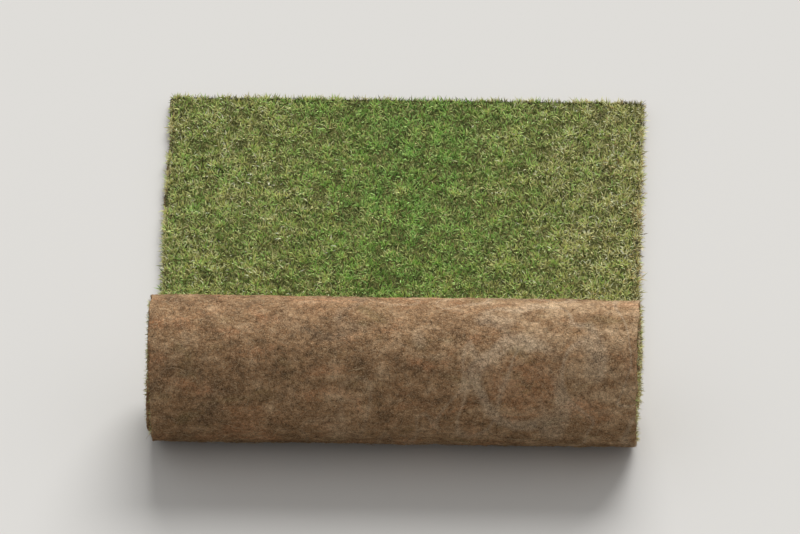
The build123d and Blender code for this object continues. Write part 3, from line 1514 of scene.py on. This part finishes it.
@dataclass(frozen=True)
class SoilMat(StripPart):
    """The mat of soil and roots, wound and laid.

    Attributes:
        fine: Length between points where the surface shows.
        overlap: How far round the outer turn goes on under itself, in degrees.
        rim: How far the rims are rounded.
        rim_draw: How far a rim draws back, as a share of that.
        edge_points: Points down each edge.
        edge_depths: Depth of the first and the last of them, as shares of the soil.
        hidden: Places across a face that doesn't show, close together only at its edges.
        edge_freedom: How uneven the edges may be beside the face.
        back_freedom: How uneven the grass side may be beside the face.
        cut_tear, cut_crumb: How ragged the cut end is, and its finest raggedness.
    """

    fine: float = 5.0 * MM
    overlap: float = 12.0
    rim: float = 3.0 * MM
    rim_draw: float = 0.5
    edge_points: int = 7
    edge_depths: Range = (0.1, 0.95)
    hidden: tuple[float, ...] = (-1, -0.99, -0.96, -0.4, 0.4, 0.96, 0.99, 1)
    edge_freedom: float = 1.3
    back_freedom: float = 0.2
    cut_tear: Wander = Wander(reach=2.0 * MM, wave=0.05, seed=5)
    cut_crumb: Wander = Wander(reach=1.2 * MM, wave=0.013, seed=6)

    def section(self, stretch: Stretch, across: np.ndarray,
                coarse: np.ndarray) -> tuple[np.ndarray, np.ndarray, np.ndarray]:
        """The closed section of the mat at each station of a stretch.

        Args:
            stretch: The stations.
            across: Places on the soil face, from -1 at one edge to 1 at the other.
            coarse: The same for the hidden grass side.

        Returns:
            The points, how free each is to be uneven, and how deep it is in metres.
        """
        right = self.edges.at(stretch.along, 1)[:, None]
        left = self.edges.at(stretch.along, -1)[:, None]
        deep = self.winding.soil_share
        side = np.linspace(*self.edge_depths, self.edge_points)
        rim = np.ones(self.edge_points)
        shares = np.concatenate([across, rim, coarse[::-1], -rim])
        depths = np.concatenate([np.zeros_like(across), side, np.ones_like(coarse), side[::-1]]) * deep
        middle, half = (right + left) / 2, (right - left) / 2
        drawn_back = np.sign(shares) * self._rounding(depths / deep, np.abs(shares))
        rows = stretch.points(middle + half * shares - drawn_back, depths[None, :])
        edge_free = rim * self.edge_freedom
        back_free = np.full(len(coarse), self.back_freedom)
        free = np.concatenate([np.ones_like(across), edge_free, back_free, edge_free])
        return rows, np.broadcast_to(free, rows.shape[:2]), depths * self.winding.pitch

    def _rounding(self, depth: np.ndarray, share: np.ndarray) -> np.ndarray:
        """How far the points at the very edge draw back, so that the rims are round.

        Args:
            depth: Their depth as a share of the soil.
            share: Their place across, 1 at the edge.

        Returns:
            The distance, 0 for all points that aren't at the edge.
        """
        near_face = np.minimum(depth, 1 - depth) * self.winding.soil
        at_edge = share > 0.999
        return np.clip(1 - near_face / self.rim, 0, 1) ** 2 * self.rim * self.rim_draw * at_edge

    def wound(self) -> Shell:
        """The coil's turns.

        Returns:
            A shell with the outer turn, fine all over, and the inner ones, fine at their edges.
        """
        shell = Shell()
        under_itself = FULL_TURN + self.overlap
        outer = self.winding.coiled(0, under_itself, self.fine)
        inner = self.winding.coiled(under_itself, self.winding.inner_end, self.fine)
        hidden = np.array(self.hidden)
        self._loft(shell, outer, np.linspace(-1, 1, int(self.winding.width / self.fine) + 1), hidden)
        self._loft(shell, inner, hidden, hidden)
        return shell

    def laid(self) -> Shell:
        """The laid stretch.

        Returns:
            A shell with the stretch and its cut end.
        """
        shell = Shell()
        hidden = np.array(self.hidden)
        self._loft(shell, self.winding.flat(0, self.winding.laid - SHORT_OF_CUT, self.fine), hidden, hidden)
        self._cut_end(shell)
        return shell

    def _loft(self, shell: Shell, stretch: Stretch, face: np.ndarray, back: np.ndarray) -> None:
        """Adds one run of the mat to a shell.

        Args:
            shell: Where it goes.
            stretch: The stations.
            face: Places across the soil face.
            back: Places across the grass side.
        """
        rows, free, depth = self.section(stretch, face, back)
        strip = strip_places(stretch.along[:, None], rows, depth)
        shell.loft(rows, {Mark.STRIP: strip, Mark.FREEDOM: free})

    def _cut_end(self, shell: Shell) -> None:
        """Adds the strip's cut end: a rim across the strip, with a torn face.

        Each point of its section is how far it lies back from the cut in millimetres, its height as a
        share of the soil, and how free it is to be uneven.

        Args:
            shell: Where it goes.
        """
        section = np.array([(-14, 0.0, 0.2), (-5, 0.0, 0.6), (-1.6, 0.06, 1), (-0.4, 0.2, 1), (0, 0.4, 1),
                            (-0.5, 0.6, 1), (-0.9, 0.8, 1), (-2.6, 0.96, 1), (-6, 1.0, 0.6),
                            (-14, 1.0, 0.2)])
        inside_box = 1.0 * MM
        stations = int(self.winding.width / self.fine)
        x = np.linspace(-SHORT_OF_EDGES, SHORT_OF_EDGES, stations) * self.winding.width / 2
        torn = self.cut_tear.at(x) + self.cut_crumb.at(x)
        end = self.winding.coil_y + self.winding.laid
        soil = self.winding.soil
        y = end - inside_box + section[:, 0] * MM + torn[:, None]
        z = np.broadcast_to(section[:, 1] * soil, y.shape)
        rows = np.stack([np.broadcast_to(x[:, None], y.shape), y, z], axis=-1)
        free = np.broadcast_to(section[:, 2], y.shape)
        shell.loft(rows, {Mark.STRIP: strip_places(y, rows, soil - z), Mark.FREEDOM: free})

    def build(self, finish: bpy.types.Material, roughen: Growth) -> None:
        """Makes the wound mat and the laid one, uneven all over."""
        for name, shell in (("wound_soil_mat", self.wound()), ("laid_soil_mat", self.laid())):
            install(roughen.grow(shell.piece(name), {**UNEVEN_SOIL, "Finish": finish}))


@dataclass(frozen=True)
class Thatch(StripPart):
    """The pressed foot of the grass: between the turns, on the bore's wall and under the laid sward.

    Attributes:
        inset: How far it stays back from the soil's edge.
        bedding: How far it reaches into the soil, as a share of the pitch.
        in_bore: How much of the winding shows in the bore, in degrees.
        laid_depth: Depth of its top on the laid stretch, as a share of the pitch.
        short: How far before the cut end it stops.
        back: Places across its hidden side.
    """

    inset: float = 5.0 * MM
    bedding: float = 0.04
    in_bore: float = 370.0
    laid_depth: float = 0.97
    short: float = 6.0 * MM
    back: tuple[float, ...] = (1, 0.9, 0, -0.9, -1)

    def _run(self, shell: Shell, stretch: Stretch, columns: int, top: float) -> None:
        """Adds one run of thatch.

        Args:
            shell: Where it goes.
            stretch: The stations.
            columns: Points across the strip.
            top: Depth of the grass face as a share of the pitch.
        """
        right = self.edges.at(stretch.along, 1, GRASS_EDGE)[:, None] - self.inset
        left = self.edges.at(stretch.along, -1, GRASS_EDGE)[:, None] + self.inset
        shares = np.concatenate([np.linspace(-1, 1, columns), self.back])
        bottom = np.full(len(self.back), self.winding.soil_share - self.bedding)
        depths = np.concatenate([np.full(columns, top), bottom])
        x = (right + left) / 2 + (right - left) / 2 * shares
        rows = stretch.points(x, depths[None, :])
        strip = strip_places(stretch.along[:, None], rows, rows[:, :, 2])
        free = np.concatenate([np.ones(columns), np.zeros(len(self.back))])
        shell.loft(rows, {Mark.STRIP: strip, Mark.FREEDOM: np.broadcast_to(free, rows.shape[:2])})

    def build(self, finish: bpy.types.Material, roughen: Growth) -> None:
        """Makes the two pieces.

        Args:
            finish: Their material.
            roughen: The tree that makes them uneven.
        """
        wound, laid = Shell(), Shell()
        inner_end = self.winding.inner_end
        on_bore = inner_end - self.in_bore
        flat = self.winding.flat(0, self.winding.laid - self.short, step=13 * MM)
        self._run(wound, self.winding.coiled(0, on_bore, step=9 * MM), columns=5, top=1.0)
        self._run(wound, self.winding.coiled(on_bore, inner_end, step=5 * MM), columns=70, top=1.0)
        self._run(laid, flat, columns=90, top=self.laid_depth)
        for name, shell in (("wound_thatch", wound), ("laid_thatch", laid)):
            install(roughen.grow(shell.piece(name), {**UNEVEN_THATCH, "Finish": finish}))


@dataclass(frozen=True)
class Sward:
    """The standing grass of the laid stretch, in bays along it, and the old blades at its foot.

    Attributes:
        winding: The line of the strip.
        bays: How many pieces it is made in.
        tufts: How the tufts are planted.
        old_blades: How the short old blades are planted.
        old_nap: How much of the tufts' lean along the strip the old blades have; below 0 they lean back.
        clear: How far from the coil's foot it begins.
        short: How far before the cut end it stops.
        inset: How far inside the edges it stops.
        rim: Width of the edges, where the grass leans outwards.
        rim_lean: How far it leans outwards there.
        tall: Height that the tufts need to stand free.
        least_room: The least share of that height that is left under the coil's back.
        pressed_lean: How far the grass would lean along the strip with no room at all.
        lean_lost: How much of that lean is lost where it stands free.
        middle: Half width of the greener middle, as a share of half the strip's width.
        dry: Width of the drier band along the +X edge.
        stations, columns: Points along a bed and across it.
    """

    winding: Winding
    bays: int = 4
    tufts: Crop = Crop(density=16800.0, small=0.75, large=1.1, stray=0.5, mottle=0.34, seed=20)
    old_blades: Crop = Crop(density=11400.0, small=0.7, large=1.1, stray=0.5, mottle=0.6, seed=28)
    old_nap: float = -0.5
    clear: float = 24.0 * MM
    short: float = 5.0 * MM
    inset: float = 3.0 * MM
    rim: float = 24.0 * MM
    rim_lean: float = 0.5
    tall: float = 26.0 * MM
    least_room: float = 0.2
    pressed_lean: float = 0.9
    lean_lost: float = 1.45
    middle: float = 0.42
    dry: float = 300.0 * MM
    stations: int = 40
    columns: int = 161

    def _bed(self, name: str, start: float, end: float, nap: float = 1.0) -> bpy.types.Object:
        """The surface that grass grows on, with its cover, tint and comb.

        Args:
            name: The object's name.
            start: Length from the coil's foot at which it begins.
            end: Length at which it ends.
            nap: How much of the lean along the strip its grass has.

        Returns:
            The surface, an open sheet.
        """
        along, share = np.meshgrid(np.linspace(start, end, self.stations),
                                   np.linspace(-1, 1, self.columns), indexing="ij")
        x = share * (self.winding.width / 2 - self.inset)
        rows = np.stack([x, self.winding.coil_y + along, np.full_like(x, self.winding.soil)], axis=-1)
        rim = np.clip(1 - (self.winding.width / 2 - np.abs(x)) / self.rim, 0, 1)
        room = self._room(along)
        lean = (self.pressed_lean - self.lean_lost * room) * nap
        comb = np.stack([np.sign(share) * rim * self.rim_lean, lean, np.zeros_like(x)], axis=-1)
        shell = Shell()
        shell.loft(rows, {Mark.COVER: room, Mark.COMB: comb, Mark.TINT: self._tint(x, share, rim)}, False)
        return shell.piece(name, closed=False)

    def _room(self, along: np.ndarray) -> np.ndarray:
        """The height under the coil's back.

        Args:
            along: Lengths from the coil's foot.

        Returns:
            The height at each length, as a share of what the tufts need.
        """
        back = self.winding.radius - self.winding.half_pitch
        centre = self.winding.radius + self.winding.half_pitch
        under = centre - np.sqrt(back**2 - np.minimum(along, back) ** 2) - self.winding.soil
        return np.clip(under / self.tall, self.least_room, 1.0)

    def _tint(self, x: np.ndarray, share: np.ndarray, rim: np.ndarray) -> np.ndarray:
        """The grass's tint: greener in the middle and on the -X edge, drier on the +X side and all rims.

        Args:
            x: Places across the strip, in metres.
            share: The same places from -1 to 1.
            rim: How near the rim they are, 1 at the edge.

        Returns:
            The tint of each place.
        """
        middle = np.exp(-((share / self.middle) ** 2))
        dry_side = np.clip((x - self.winding.width / 2) / self.dry + 1, 0, 1)
        green_side = rim**2 * (x < 0)
        return 0.5 - 0.2 * middle + 0.13 * dry_side + 0.2 * rim**2 - 0.22 * green_side

    def build(self, finish: bpy.types.Material, planting: Growth) -> None:
        """Makes the bays of tufts and the old blades, which lie every way at the tufts' foot.

        Args:
            finish: Their material.
            planting: The tree that plants them.
        """
        end = self.winding.laid - self.short
        tufts = Forms("tuft", [Tuft(blades=5, length=22 * MM, width=2.4 * MM, spread=spread, foot=1.4 * MM)
                               for spread in (0.5, 0.7, 0.9, 1.1, 0.8, 1.2)])
        stops = np.linspace(self.clear, end, self.bays + 1)
        for bay in range(self.bays):
            bed = self._bed(f"laid_sward_{bay + 1}", stops[bay], stops[bay + 1])
            crop = replace(self.tufts, seed=self.tufts.seed + bay)
            crop.plant(planting, bed, tufts, finish, Slot.GRASS)
        tufts.clear()
        old = Forms("old_blades", [Tuft(blades=5, length=length * MM, width=2.2 * MM, spread=1.45,
                                        foot=3.0 * MM, joints=1) for length in (10, 13, 16, 12)])
        bed = self._bed("laid_old_blades", self.clear, end, self.old_nap)
        self.old_blades.plant(planting, bed, old, finish, Slot.GRASS)
        old.clear()


@dataclass(frozen=True)
class Verge(StripPart):
    """The narrow bands along the strip's edges, as beds for what grows out of them.

    Attributes:
        inset: How far inside the edge the bed lies.
        tint: Tint of what grows there.
        cut_stations: Points along the cut end.
    """

    inset: float
    tint: float
    cut_stations: int = 200

    def _add(self, shell: Shell, rows: np.ndarray, along: Any, comb: Triple) -> None:
        """Adds a bed of two columns of points to a shell.

        Args:
            shell: Where it goes.
            rows: The points.
            along: Their lengths along the strip.
            comb: Which way what grows there leans.
        """
        size = rows.shape[:2]
        marks = {Mark.COVER: np.ones(size), Mark.TINT: np.full(size, self.tint),
                 Mark.COMB: np.broadcast_to(comb, (*size, 3)),
                 Mark.STRIP: strip_places(along, rows, self.winding.soil / 2)}
        shell.loft(rows, marks, False)

    def side(self, shell: Shell, stretch: Stretch, side: int, comb: Triple, reach: Range) -> None:
        """Adds the bed along one long edge of a stretch.

        Args:
            shell: Where it goes.
            stretch: The stations.
            side: 1 for the +X edge and -1 for the -X edge.
            comb: Which way what grows there leans on the +X edge.
            reach: Least and greatest depth as shares of the pitch.
        """
        x = self.edges.at(stretch.along, side, GRASS_EDGE)[:, None] - side * self.inset
        order = reach if side > 0 else reach[::-1]
        rows = stretch.points(np.repeat(x, 2, axis=1), np.array([order]))
        along = stretch.along[:, None]
        if along[-1] > along[0]:
            rows, along = rows[::-1], along[::-1]
        self._add(shell, rows, along, (comb[0] * side, comb[1], comb[2]))

    def cut_end(self, shell: Shell, comb: Triple, reach: Range) -> None:
        """Adds the bed across the cut end of the laid stretch.

        Args:
            shell: Where it goes.
            comb: Which way what grows there leans.
            reach: Least and greatest height as shares of the soil's thickness.
        """
        x = np.linspace(-SHORT_OF_EDGES, SHORT_OF_EDGES, self.cut_stations) * self.winding.width / 2
        end = self.winding.coil_y + self.winding.laid - self.inset
        columns = [np.stack([x, np.full_like(x, end), np.full_like(x, share * self.winding.soil)], axis=-1)
                   for share in reach]
        self._add(shell, np.stack(columns, axis=1), self.winding.laid, comb)


@dataclass(frozen=True)
class Fringe(StripPart):
    """The grass at the strip's edges: between the turns, in the bore and round the laid stretch.

    Attributes:
        at_ends: How the coil's ends are planted.
        at_laid_edges: How the laid stretch's edges are planted.
        in_bore: How the bore's wall is planted.
        clear: How far from the coil's foot the laid stretch's fringe begins.
        bore_angles: Where the bore's grass begins and stops, in degrees before the strip's inner end.
        mouth: How deep into the bore single blades are still seen.
        bore_tint: Their tint.
        deep_cover: How much of the cover is left in the deeper half.
        bore_inset: How far inside the strip's edge they begin.
        outward: How far they lean out of the bore.
        round_bore: How far they lean round it.
        columns: Points across each mouth of the bore.
    """

    at_ends: Crop = Crop(density=190000.0, small=0.45, large=1.05, stray=0.6, mottle=0.26, seed=40)
    at_laid_edges: Crop = Crop(density=180000.0, small=0.45, large=0.95, stray=0.9, mottle=0.22, seed=44)
    in_bore: Crop = Crop(density=21000.0, small=0.7, large=1.2, stray=0.7, mottle=0.22, seed=48)
    clear: float = 15.0 * MM
    bore_angles: Range = (365.0, 4.0)
    mouth: float = 150.0 * MM
    bore_tint: float = 0.55
    deep_cover: float = 0.75
    bore_inset: float = 8.0 * MM
    outward: float = 0.5
    round_bore: float = 1.4
    columns: int = 12

    def _end_bed(self, name: str, side: int) -> bpy.types.Object:
        """The grass between the turns on one end of the coil, as a bed.

        Args:
            name: The object's name.
            side: 1 for the +X end and -1 for the -X end.

        Returns:
            The bed.
        """
        shell = Shell()
        wound = self.winding.coiled(PAST_FOOT, self.winding.inner_end, step=6 * MM)
        verge = Verge(self.winding, self.edges, inset=7 * MM, tint=0.63)
        verge.side(shell, wound, side, comb=(0.3, 0.0, -0.4), reach=(0.81, 0.97))
        return shell.piece(name, closed=False)

    def _laid_bed(self) -> bpy.types.Object:
        """The grass along the two edges and the cut end of the laid stretch, as a bed.

        Returns:
            The bed.
        """
        shell = Shell()
        flat = self.winding.flat(self.clear, self.winding.laid - SHORT_OF_CUT, step=10 * MM)
        verge = Verge(self.winding, self.edges, inset=8 * MM, tint=0.66)
        for side in (1, -1):
            verge.side(shell, flat, side, comb=(0.2, -0.3, 0.35), reach=(0.76, 1.0))
        verge.cut_end(shell, comb=(0.0, 0.2, 0.35), reach=(0.99, 1.3))
        return shell.piece("laid_edge_fringe", closed=False)

    def _bore_bed(self) -> bpy.types.Object:
        """The bore's wall near both ends, with its grass combed round it and outwards.

        Returns:
            The bed.
        """
        shell = Shell()
        half_width = self.winding.width / 2
        begin, stop = (self.winding.inner_end - angle for angle in self.bore_angles)
        stretch = self.winding.coiled(begin, stop, step=8 * MM)
        way = np.gradient(stretch.soil, axis=0)
        way = way / np.linalg.norm(way, axis=1)[:, None]
        combed_round = np.repeat(way[:, None, :], self.columns, axis=1) * self.round_bore
        depth = np.linspace(0, self.mouth, self.columns)
        for side in (1, -1):
            x = side * (half_width - self.bore_inset - depth[::side])
            rows = stretch.points(x[None, :], np.ones((1, self.columns)))
            size = rows.shape[:2]
            far_in = np.abs(rows[:, :, 0]) < half_width - self.mouth / 2
            comb = np.concatenate([np.full((*size, 1), self.outward * side), combed_round], axis=-1)
            marks = {Mark.COVER: np.where(far_in, self.deep_cover, 1.0),
                     Mark.TINT: np.full(size, self.bore_tint), Mark.COMB: comb}
            shell.loft(rows, marks, False)
        return shell.piece("bore_wall_grass", closed=False)

    def build(self, finish: bpy.types.Material, planting: Growth) -> None:
        """Makes the fringes of the two ends and the laid stretch's edges, and the grass in the bore.

        Args:
            finish: Their material.
            planting: The tree that plants them.
        """
        wisps = Forms("wisp", [Tuft(blades=3, length=length * MM, width=2.0 * MM, spread=0.9, foot=1.0 * MM,
                                    joints=3) for length in (16, 20, 24, 14)])
        for side, name in ((1, "right_end_fringe"), (-1, "left_end_fringe")):
            crop = replace(self.at_ends, seed=self.at_ends.seed + side)
            crop.plant(planting, self._end_bed(name, side), wisps, finish, Slot.GRASS)
        self.at_laid_edges.plant(planting, self._laid_bed(), wisps, finish, Slot.GRASS)
        self.in_bore.plant(planting, self._bore_bed(), wisps, finish, Slot.GRASS)
        wisps.clear()


@dataclass(frozen=True)
class RootMat(StripPart):
    """The fine roots that lie on the soil face and stand out of it, with crumbs of soil among them.

    Attributes:
        on_face: How roots are planted on the soil face.
        at_edges: How roots are planted on the cut edges.
        crumbs_on_face: How crumbs are planted on the soil face.
        crumbs_at_edges: How crumbs are planted on the cut edges.
        face_angles: Angles wound between which the soil face shows.
        inset: How far inside the strip's edges what lies on the soil face stops.
        columns: Points across the soil face.
        hang: Which way the roots at the edges lean.
    """

    on_face: Crop = Crop(density=2300.0, small=0.5, large=1.3, stray=0.06, mottle=0.5, seed=60)
    at_edges: Crop = Crop(density=12500.0, small=0.5, large=1.3, stray=0.7, mottle=0.5, seed=62)
    crumbs_on_face: Crop = Crop(density=1550.0, small=0.5, large=1.2, stray=0.5, mottle=0.5, seed=61)
    crumbs_at_edges: Crop = Crop(density=7000.0, small=0.4, large=0.9, stray=0.5, mottle=0.5, seed=63)
    face_angles: Range = (14.0, 352.0)
    inset: float = 4.0 * MM
    columns: int = 200
    hang: Triple = (0.0, 0.0, -0.3)

    def _face(self, name: str, soil: bpy.types.Material, roughen: Growth) -> bpy.types.Object:
        """The soil face of the outer turn as a bed, as uneven as the mat itself.

        Args:
            name: The object's name.
            soil: The soil's material.
            roughen: The tree that made the mat uneven.

        Returns:
            The bed.
        """
        stretch = self.winding.coiled(*self.face_angles, step=6 * MM)
        x = np.linspace(-1, 1, self.columns)[None, :] * (self.winding.width / 2 - self.inset)
        rows = stretch.points(x, np.zeros_like(x))
        size = rows.shape[:2]
        marks = {Mark.COVER: np.ones(size), Mark.TINT: np.full(size, 0.5), Mark.COMB: np.zeros((*size, 3)),
                 Mark.STRIP: strip_places(stretch.along[:, None], rows, 0.0), Mark.FREEDOM: np.ones(size)}
        shell = Shell()
        shell.loft(rows, marks, False)
        return roughen.grow(shell.piece(name, closed=False), {**UNEVEN_SOIL, "Finish": soil})

    def _rims(self, name: str) -> bpy.types.Object:
        """The cut edges of the mat all round, as a bed.

        Args:
            name: The object's name.

        Returns:
            The bed.
        """
        shell = Shell()
        verge = Verge(self.winding, self.edges, inset=0.5 * MM, tint=0.5)
        wound = self.winding.coiled(PAST_FOOT, self.winding.inner_end, step=8 * MM)
        flat = self.winding.flat(0, self.winding.laid - SHORT_OF_CUT, step=20 * MM)
        for side in (1, -1):
            for stretch in (wound, flat):
                verge.side(shell, stretch, side, self.hang, reach=(0.06, 0.7))
        verge.cut_end(shell, self.hang, reach=(0.1, 0.9))
        return shell.piece(name, closed=False)

    def build(self, roots: bpy.types.Material, soil: bpy.types.Material, roughen: Growth,
              planting: Growth) -> None:
        """Makes the roots and the crumbs.

        Args:
            roots: Material of the roots.
            soil: Material of the crumbs.
            roughen: The tree that made the mat uneven.
            planting: The tree that plants them.
        """
        threads = Forms("rootlet", [Rootlet(length * MM, thick=0.75 * MM, wind=5 * MM, lift=1.2 * MM)
                                    for length in (22, 34, 50, 28, 42, 16)])
        face = self._face("soil_face_roots", soil, roughen)
        self.on_face.plant(planting, face, threads, roots, Slot.ROOTS)
        threads.clear()
        hairs = Forms("hair", [Rootlet(length * MM, thick=0.5 * MM, wind=3 * MM, lift=2 * MM, joints=3)
                               for length in (9, 13, 18, 7)])
        self.at_edges.plant(planting, self._rims("edge_roots"), hairs, roots, Slot.ROOTS)
        hairs.clear()
        lumps = Forms("crumb", [Crumb(size * MM) for size in (2.6, 3.4, 4.4, 2.0, 6.0)])
        face = self._face("soil_face_crumbs", soil, roughen)
        self.crumbs_on_face.plant(planting, face, lumps, soil, Slot.SOIL)
        self.crumbs_at_edges.plant(planting, self._rims("edge_crumbs"), lumps, soil, Slot.SOIL)
        lumps.clear()


@dataclass(frozen=True)
class Studio:
    """The pale floor, the soft light and the camera at the photograph's angle.

    Attributes:
        azimuth: Which way the camera stands, in degrees from straight before the coil towards +X.
        roll: How far the camera is turned about its line of sight, in degrees.
        elevation: How far above the horizon it is, in degrees.
        distance: From the camera to the object.
        scale: Pixels to the metre at the object.
        image_width: Width of the image in pixels.
        sensor: Width of the camera's sensor in millimetres.
        aim: The point that it looks at.
        half_floor: Half the floor's width.
        background: Colour of the background and of the floor as they are seen.
        floor_colour: Colour that the floor throws back onto the object.
        sun: Where the key light comes from.
        sun_energy: How strong it is.
        sun_angle: How wide it is, in degrees.
        fill: Strength of the even light.
    """

    azimuth: float = 1.9
    roll: float = -0.5
    elevation: float = 40.0
    distance: float = 35.0
    scale: float = 400.0
    image_width: float = 800.0
    sensor: float = 36.0
    aim: Triple = (0.0, -0.04, 0.1)
    half_floor: float = 40.0
    background: Colour = paint(226, 224, 220)
    floor_colour: Colour = paint(150, 146, 140)
    sun: Triple = (0.25, 1.1, 1.0)
    sun_energy: float = 2.6
    sun_angle: float = 40.0
    fill: float = 0.42

    @staticmethod
    def _seen(sheet: NodeSheet) -> Reading:
        """Tells where the background is looked at: straight, in a reflection or through glass.

        Args:
            sheet: The sheet that asks.

        Returns:
            1 there and 0 elsewhere.
        """
        path = sheet.node("ShaderNodeLightPath")
        straight, reflected, through = (sheet.read(path, f"Is {kind} Ray")
                                        for kind in ("Camera", "Glossy", "Transmission"))
        return straight.maths("MAXIMUM", reflected).maths("MAXIMUM", through)

    def floor(self) -> None:
        """Lays the floor, which throws back less light than it shows."""
        half = self.half_floor
        mesh = bpy.data.meshes.new("floor")
        corners = [(-half, -half, 0), (half, -half, 0), (half, half, 0), (-half, half, 0)]
        mesh.from_pydata(corners, [], [(0, 1, 2, 3)])
        made = bpy.data.objects.new("floor", mesh)
        bpy.context.scene.collection.objects.link(made)
        dye = Dye("pale floor")
        colour = dye.mix(self._seen(dye), self.floor_colour, self.background)
        mesh.materials.append(dye.surface(colour, 0.9, gloss=0.0))

    def lights(self) -> None:
        """Hangs the soft key light and fills the room with even light."""
        lamp = bpy.data.lights.new("key", "SUN")
        lamp.energy = self.sun_energy
        lamp.angle = math.radians(self.sun_angle)
        key = bpy.data.objects.new("key", lamp)
        key.rotation_euler = Vector(self.sun).to_track_quat("Z", "Y").to_euler()
        bpy.context.scene.collection.objects.link(key)
        world = bpy.data.worlds.new("room")
        world.use_nodes = True
        sheet = NodeSheet(world.node_tree)
        sheet.tree.nodes.clear()
        seen = self._seen(sheet)
        plain = sheet.node("ShaderNodeBackground", None, {"Color": self.background, "Strength": 1.0})
        white = {"Color": (1.0, 1.0, 1.0, 1.0), "Strength": self.fill}
        fill = sheet.node("ShaderNodeBackground", None, white)
        both = sheet.node("ShaderNodeMixShader", None, {0: seen, 1: sheet.read(fill), 2: sheet.read(plain)})
        sheet.node("ShaderNodeOutputWorld", None, {"Surface": sheet.read(both)})
        bpy.context.scene.world = world

    def camera(self) -> None:
        """Sets up the camera."""
        lens = bpy.data.cameras.new("camera")
        lens.sensor_width = self.sensor
        lens.lens = self.scale * self.distance / self.image_width * self.sensor
        lens.clip_end = 4 * self.distance
        made = bpy.data.objects.new("camera", lens)
        turn, rise = math.radians(self.azimuth), math.radians(self.elevation)
        back = Vector((math.sin(turn) * math.cos(rise), -math.cos(turn) * math.cos(rise), math.sin(rise)))
        made.location = Vector(self.aim) + back * self.distance
        level = (-back).to_track_quat("-Z", "Y").to_matrix()
        made.rotation_euler = (level @ Matrix.Rotation(math.radians(self.roll), 3, "Z")).to_euler()
        bpy.context.scene.collection.objects.link(made)
        bpy.context.scene.camera = made

    def build(self) -> None:
        """Sets up floor, lights, camera and the plain view transform."""
        self.floor()
        self.lights()
        self.camera()
        bpy.context.scene.view_settings.view_transform = "Standard"


def main() -> None:
    """Builds the roll, piece by piece, and the studio round it."""
    logging.basicConfig(level=logging.INFO, format="%(message)s")
    winding = Winding.of_the_frame()
    edges = StripEdges(winding.width / 2)
    roughen, planting = Roughening(), Planting()
    soil, grass = SoilFinish().material(), GrassFinish().material()
    SoilMat(winding, edges).build(soil, roughen)
    Thatch(winding, edges).build(ThatchFinish().material(), roughen)
    Sward(winding).build(grass, planting)
    Fringe(winding, edges).build(grass, planting)
    RootMat(winding, edges).build(RootFinish().material(), soil, roughen, planting)
    Studio().build()


if __name__ == "__main__":
    main()
